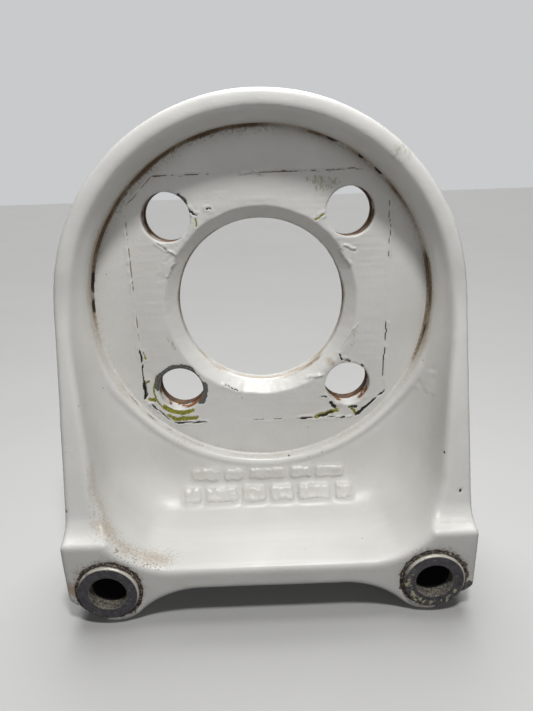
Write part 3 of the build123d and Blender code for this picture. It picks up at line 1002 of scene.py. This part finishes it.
def film_grid():
    """X, Z and faces of an even grid over the pad. Its borders follow the bore, the holes and the rim."""
    reach = math.ceil(PAD_RADIUS / FILM_STEP) + 1
    line = np.arange(-reach, reach + 1) * FILM_STEP
    x, z = (values.ravel() for values in np.meshgrid(line, line, indexing="ij"))
    # middle, radius, and -1 where the film lies inside the circle or 1 where it lies outside
    circles = [(0.0, 0.0, PAD_RADIUS - 0.15, -1), (0.0, 0.0, BORE_RADIUS - 0.06, 1)]
    circles += [(hole_x, hole_z, HOLE_RADIUS - 0.08, 1) for hole_x, hole_z in PAD_HOLES]
    inner = [(np.hypot(x - cx, z - cz) - radius) * sign for cx, cz, radius, sign in circles]
    nearest = np.argmin(inner, axis=0)
    depth = np.min(inner, axis=0)

    quads = rectangles(np.arange(len(x)).reshape(len(line), len(line)))
    quads = quads[(depth[quads] > -FILM_STEP * 0.45).all(axis=1)]
    used = np.bincount(quads.ravel(), minlength=len(x))
    border = (used > 0) & (used < 4)
    for number, (cx, cz, radius, _) in enumerate(circles):
        moved = border & (nearest == number)
        out = np.hypot(x[moved] - cx, z[moved] - cz)
        x[moved] = cx + (x[moved] - cx) * radius / out
        z[moved] = cz + (z[moved] - cz) * radius / out

    kept = np.flatnonzero(used)
    new_number = np.full(len(x), -1)
    new_number[kept] = np.arange(len(kept))
    return x[kept], z[kept], new_number[quads]


def skirt(quads, count):
    """Walls back from the border of a sheet of count points: the border's points and the walls' corners."""
    sides = np.concatenate([quads[:, [0, 1]], quads[:, [1, 2]], quads[:, [2, 3]], quads[:, [3, 0]]])
    key = np.sort(sides, axis=1) @ (count, 1)
    _, first, times = np.unique(key, return_index=True, return_counts=True)
    rim = sides[first[times == 1]]
    rim_points, place = np.unique(rim, return_inverse=True)
    below = count + place.reshape(rim.shape)
    return rim_points, np.column_stack((rim[:, 1], rim[:, 0], below[:, 0], below[:, 1]))


def soil_film(x, z, opened):
    """Adds dirt near the pad's wall and the bore's edge, specks and smears to the film's masks."""
    out, turn = np.hypot(x, z), turn_of(x, z)
    spots = on_plane(x, z, -0.2)
    stain, grime_and_shade, dark = ring_grime(spots)
    upper_left = upper_left_arc(turn)
    near_wall = ramp(PAD_RADIUS - 1.6 - 0.8 * upper_left, PAD_RADIUS - 0.2, out)
    lip = ramp(BORE_RADIUS + 0.7, BORE_RADIUS + 0.2, out) * (0.35 + 0.45 * noise(spots, 6.0, 24))
    opened["grime_and_shade"] = most(opened["grime_and_shade"], grime_and_shade * near_wall, 0.8 * lip)
    opened["dark"] = most(opened["dark"], dark * near_wall)
    opened["specks"] = hump(out, PAD_RADIUS - 0.8, 1.5) * (0.25 + 0.75 * upper_left) * ramp(-20, 0, turn)
    opened["stain"] = most(stain * near_wall, lip)
    for smear_x, smear_z, radius, strength in SMEARS:
        near = strength * hump(np.hypot(x - smear_x, z - smear_z), 0.0, radius)
        opened["stain"] = most(opened["stain"], near * (1.0 + 0.7 * noise(spots, 1.2, 48)))


def pad_film():
    """Sheet of paint over the pad, with walls back into the casting along its borders."""
    x, z, quads = film_grid()
    opened, raised = film_masks(x, z)
    points = np.column_stack((x, film_front(x, z, opened, raised), z))
    rim_points, walls = skirt(quads, len(points))
    points = np.concatenate((points, points[rim_points] + (0, 1.0, 0)))
    mesh = new_mesh("pad_paint", points, np.concatenate((quads, walls)))
    soil_film(x, z, opened)
    for name, values in opened.items():
        write_mask(mesh, name, np.concatenate((values, values[rim_points])))
    return new_piece("pad_paint", mesh)


# ---- sealant ----

def sealant_bead(side, seed):
    """Uneven bead of sealant, squeezed out round a bush flange."""
    node = "bush_sealant_" + side
    middle, outer, front, back = round_node(node)
    inner = round_node("foot_bush_" + side)[1]
    around, section = 240, 14
    turn = np.linspace(0, 2 * math.pi, around, endpoint=False)
    arc = np.linspace(0, math.pi, section)
    spots = np.column_stack((10 * np.cos(turn), 10 * np.sin(turn), np.full(around, 3.0 * seed)))
    wide = outer - 0.40 + 0.45 * turbulence(spots, 2.4, seed)
    tall = back - front - 0.40 + 0.40 * turbulence(spots, 1.6, seed + 3)
    reach = (wide - inner + 0.1) / 2
    out = inner - 0.1 + reach[:, None] * (1.0 - np.cos(arc))
    y = back - 0.35 - tall[:, None] * np.sin(arc) ** 0.8
    x = middle.x + out * np.cos(turn)[:, None]
    z = middle.z + out * np.sin(turn)[:, None]
    points = np.column_stack((x.ravel(), y.ravel(), z.ravel()))
    points = points + 0.10 * noise(points, 0.9, seed + 6)[:, None] * np.array((0.3, 1.0, 0.3))

    number = np.arange(around * section).reshape(around, section)
    onward = np.roll(number, -1, axis=0)
    corners = (number, np.roll(number, -1, axis=1), np.roll(onward, -1, axis=1), onward)
    mesh = new_mesh("sealant_bead_" + side, points, np.stack(corners, axis=-1).reshape(-1, 4))
    piece = new_piece("sealant_bead_" + side, mesh)
    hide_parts(node)
    return piece


# ---- stage ----

def studio_floor():
    """A pale floor under the feet, 6 metres square."""
    mesh = bpy.data.meshes.new("floor")
    half, z = 3000.0 * MM, cad_low.z
    corners = [(-half, -half, z), (half, -half, z), (half, half, z), (-half, half, z)]
    mesh.from_pydata(corners, [], [(0, 1, 2, 3)])
    floor = placed("floor", mesh)
    floor.data.materials.append(floor_material())


def light(name, kind, direction, **settings):
    """A light that shines from a direction."""
    data = bpy.data.lights.new(name, kind)
    for setting, value in settings.items():
        setattr(data, setting, value)
    lamp = placed(name, data)
    lamp.rotation_mode = "QUATERNION"
    lamp.rotation_quaternion = Vector(direction).normalized().to_track_quat("Z", "Y")
    return lamp


def studio():
    """A soft key from high in front, wide lights from above, ahead and both sides, and a pale backdrop."""
    towards_key = Vector((0.087, -0.521, 0.849)).normalized()
    place = (Vector(FRONT_OF_RIM_TOP) + towards_key * KEY_REACH) * MM
    key = light("key", "AREA", place - (cad_low + cad_high) / 2, shape="DISK", size=45.0 * MM, energy=0.70)
    key.data.color = (1.0, 0.99, 0.97)
    key.location = place
    for name, direction, spread, strength in (
        ("overhead", (0.0, 0.42, 0.91), 50.0, 2.8),
        ("front", (0.0, -0.99, 0.14), 70.0, 0.72),
        ("right", (0.9, -0.4, 0.25), 60.0, 0.26),
        ("left", (-0.9, -0.4, 0.25), 60.0, 0.08),
    ):
        light(name, "SUN", direction, angle=math.radians(spread), energy=strength)
    world = bpy.data.worlds.new("studio")
    world.use_nodes = True
    nodes, links = world.node_tree.nodes, world.node_tree.links
    background = nodes["Background"]
    background.inputs["Color"].default_value = (0.93, 0.95, 0.97, 1.0)
    seen = nodes.new("ShaderNodeLightPath").outputs["Is Camera Ray"]
    strength = nodes.new("ShaderNodeMapRange")
    strength.inputs["To Min"].default_value = 0.01
    strength.inputs["To Max"].default_value = 0.62
    links.new(seen, strength.inputs["Value"])
    links.new(strength.outputs[0], background.inputs["Strength"])
    bpy.context.scene.world = world
    bpy.context.scene.view_settings.view_transform = "Standard"


def camera():
    """Wide lens, close, a little above the middle, tilted down and rolled slightly."""
    pitch, yaw, roll = math.radians(18.73), math.radians(-0.39), math.radians(-1.974)
    data = bpy.data.cameras.new("camera")
    data.sensor_width = 36.0
    data.lens = 27.05
    data.clip_start = 10.0 * MM
    view = placed("camera", data)
    tilted = Matrix.Rotation(yaw, 4, "Z") @ Matrix.Rotation(math.pi / 2 - pitch, 4, "X")
    place = Vector((-0.02, -154.78, 36.63)) * MM
    view.matrix_world = Matrix.Translation(place) @ tilted @ Matrix.Rotation(roll, 4, "Z")
    bpy.context.scene.camera = view


# ---- put together ----

paint = paint_material()
casting = painted_casting()
casting.data.materials.append(paint)
raised_blocks(casting).data.materials.append(paint)
pad_film().data.materials.append(paint)
sealant = sealant_material()
for bush_side, bead_seed in (("left", 31), ("right", 47)):
    sealant_bead(bush_side, bead_seed).data.materials.append(sealant)

sleeve = sleeve_material()
for node_name, node_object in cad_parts.items():
    if node_name.startswith("pad_sleeve"):
        node_object.material_slots[0].material = sleeve
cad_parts["foot_bush_left"].material_slots[0].material = bush_material("foot_bush_left", 0.03)
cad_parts["foot_bush_right"].material_slots[0].material = bush_material("foot_bush_right", 0.20)

studio_floor()
studio()
camera()
